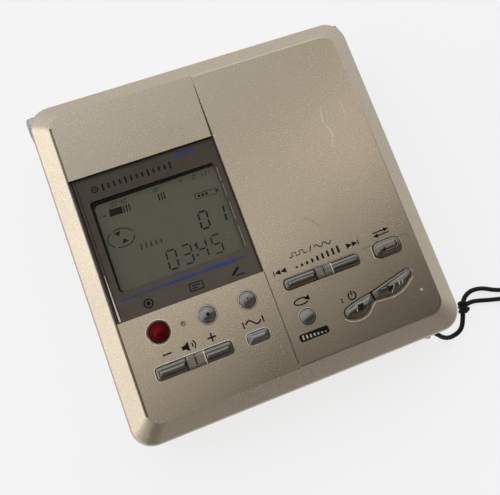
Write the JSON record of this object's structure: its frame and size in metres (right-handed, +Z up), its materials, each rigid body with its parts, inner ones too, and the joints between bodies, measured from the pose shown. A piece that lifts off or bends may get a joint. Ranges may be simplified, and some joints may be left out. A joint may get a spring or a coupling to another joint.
{
  "type": "pocket minidisc recorder",
  "caption": "Pocket minidisc recorder with a hinged lid, a display and keys on the lid, and a moving pickup, head and battery door inside.",
  "frame": {"origin": "on the surface the feet stand on, under the middle of the object without its strap", "axes": "+X to the right as the lid's labels read, +Y to the hinge, +Z up"},
  "size_m": [0.1082, 0.0879, 0.0208],
  "materials": {
    "shell_paint": "champagne metallic paint, fine speckle",
    "bezel_smoke": "glossy smoked plastic",
    "display_glass": "clear window",
    "display_panel": "grey-green liquid crystal panel",
    "black_plastic": "satin",
    "key_chrome": "dark polished",
    "rec_red": "translucent red",
    "lamp_clear": "clear light pipe",
    "board_green": "circuit board",
    "chip_black": "moulded",
    "dome_steel": "pressed",
    "steel_plate": "folded sheet",
    "steel_shaft": "ground",
    "bright_chrome": "polished",
    "foot_rubber": "soft",
    "white_plastic": "moulded",
    "lens_blue": "coated",
    "head_ferrite": "ferrite",
    "battery_wrap": "wrapped cell",
    "contact_gold": "plated",
    "cord_black": "braided"
  },
  "bodies": {
    "case": {"bottom_case": "shell_paint", "feet": "foot_rubber", "case_screws": "steel_shaft", "deck": "steel_plate", "main_board": "board_green", "board_chips": "chip_black", "chassis": "steel_plate", "rubber_dampers": "foot_rubber", "spindle_motor": "steel_shaft", "guide_rods": "steel_shaft", "sled_motor": "steel_shaft", "battery_pack": "battery_wrap", "contact_block": "black_plastic", "battery_contacts": "contact_gold", "phones_jack": "black_plastic", "line_jack": "black_plastic", "mic_jack": "black_plastic", "dc_jack": "black_plastic", "hinge_pins": "steel_shaft", "lid_springs": "dome_steel", "hinge_caps": "bright_chrome", "latch_spring": "dome_steel", "strap_eye": "bright_chrome", "strap_cord": "cord_black", "strap_knot": "cord_black"},
    "lid": {"lid_shell": "shell_paint", "lcd_bezel": "bezel_smoke", "lcd_lens": "display_glass", "lcd_panel": "display_panel", "lcd_frame": "black_plastic", "lamp_pipes": "lamp_clear", "key_board": "board_green", "key_domes": "dome_steel", "lid_plate": "steel_plate", "lid_screws": "steel_shaft", "lid_catch": "steel_plate"},
    "holder": {"disc_holder": "steel_plate"},
    "turntable": {"turntable": "white_plastic"},
    "lead_screw": {"lead_screw": "steel_shaft", "screw_gear": "white_plastic"},
    "pinion": {"motor_pinion": "white_plastic"},
    "sled": {"pickup_sled": "white_plastic", "objective_lens": "lens_blue", "head_pivot_pin": "steel_shaft"},
    "head_arm": {"head_arm": "steel_plate", "magnetic_head": "head_ferrite"},
    "open_latch": {"open_latch": "black_plastic"},
    "hold_switch": {"hold_switch": "black_plastic"},
    "battery_door": {"battery_door": "shell_paint"},
    "rec_button": {"rec_button": "rec_red"},
    "display_button": {"display_button": "key_chrome"},
    "edit_button": {"edit_button": "key_chrome"},
    "mode_button": {"mode_button": "key_chrome"},
    "bass_button": {"bass_button": "key_chrome"},
    "enter_button": {"enter_button": "key_chrome"},
    "stop_button": {"stop_button": "key_chrome"},
    "play_button": {"play_button": "key_chrome"},
    "volume_rocker": {"volume_rocker": "key_chrome"},
    "level_rocker": {"level_rocker": "key_chrome"}
  },
  "joints": [
    {"name": "lid_hinge", "type": "hinge", "parent": "case", "child": "lid", "pos_m": [0, 0.0386, 0.0092], "axis": [-1, 0, 0], "range_deg": [0, 55]},
    {"name": "holder_hinge", "type": "hinge", "parent": "case", "child": "holder", "pos_m": [0, 0.0386, 0.0092], "axis": [-1, 0, 0], "range_deg": [0, 13.75]},
    {"name": "head_arm_hinge", "type": "hinge", "parent": "sled", "child": "head_arm", "pos_m": [0.0145, 0.0339, 0.01345], "axis": [-1, 0, 0], "range_deg": [0, 17]},
    {"name": "sled_slide", "type": "slide", "parent": "case", "child": "sled", "axis": [1, 0, 0], "range_m": [0, 0.016]},
    {"name": "lead_screw_turn", "type": "hinge", "parent": "case", "child": "lead_screw", "pos_m": [0.0015, 0.0205, 0.0055], "axis": [1, 0, 0], "range_deg": [0, 3841]},
    {"name": "pinion_turn", "type": "hinge", "parent": "case", "child": "pinion", "pos_m": [0.0015, 0.01764, 0.0055], "axis": [1, 0, 0], "range_deg": [-8642, 0]},
    {"name": "turntable_spin", "type": "hinge", "parent": "case", "child": "turntable", "pos_m": [0, -0.004, 0.009], "axis": [0, 0, 1], "continuous": true},
    {"name": "rec_press", "type": "slide", "parent": "lid", "child": "rec_button", "axis": [0, 0, -1], "range_m": [0, 0.00035], "stiffness_N_per_m": 400},
    {"name": "display_press", "type": "slide", "parent": "lid", "child": "display_button", "axis": [0, 0, -1], "range_m": [0, 0.00035], "stiffness_N_per_m": 400},
    {"name": "edit_press", "type": "slide", "parent": "lid", "child": "edit_button", "axis": [0, 0, -1], "range_m": [0, 0.00035], "stiffness_N_per_m": 400},
    {"name": "mode_press", "type": "slide", "parent": "lid", "child": "mode_button", "axis": [0, 0, -1], "range_m": [0, 0.00035], "stiffness_N_per_m": 400},
    {"name": "bass_press", "type": "slide", "parent": "lid", "child": "bass_button", "axis": [0, 0, -1], "range_m": [0, 0.00035], "stiffness_N_per_m": 400},
    {"name": "enter_press", "type": "slide", "parent": "lid", "child": "enter_button", "axis": [0, 0, -1], "range_m": [0, 0.00035], "stiffness_N_per_m": 400},
    {"name": "stop_press", "type": "slide", "parent": "lid", "child": "stop_button", "axis": [0, 0, -1], "range_m": [0, 0.00035], "stiffness_N_per_m": 400},
    {"name": "play_press", "type": "slide", "parent": "lid", "child": "play_button", "axis": [0, 0, -1], "range_m": [0, 0.00035], "stiffness_N_per_m": 400},
    {"name": "volume_tilt", "type": "hinge", "parent": "lid", "child": "volume_rocker", "pos_m": [-0.0218, -0.0262, 0.0179], "axis": [0, 1, 0], "range_deg": [-2, 2], "stiffness_Nm_per_rad": 0.02},
    {"name": "level_tilt", "type": "hinge", "parent": "lid", "child": "level_rocker", "pos_m": [0.0115, -0.0178, 0.0179], "axis": [0, 1, 0], "range_deg": [-2, 2], "stiffness_Nm_per_rad": 0.02},
    {"name": "latch_slide", "type": "slide", "parent": "case", "child": "open_latch", "axis": [-1, 0, 0], "range_m": [0, 0.002], "stiffness_N_per_m": 300},
    {"name": "hold_slide", "type": "slide", "parent": "case", "child": "hold_switch", "axis": [0, 1, 0], "range_m": [0, 0.0025]},
    {"name": "door_slide", "type": "slide", "parent": "case", "child": "battery_door", "axis": [-1, 0, 0], "range_m": [0, 0.024]}
  ],
  "couplings": [
    {"joint": "holder_hinge", "follows": "lid_hinge", "ratio": 0.25},
    {"joint": "head_arm_hinge", "follows": "lid_hinge", "ratio": 0.30859},
    {"joint": "lead_screw_turn", "follows": "sled_slide", "rad_per_m": 4188.8},
    {"joint": "pinion_turn", "follows": "sled_slide", "rad_per_m": -9424.8}
  ]
}
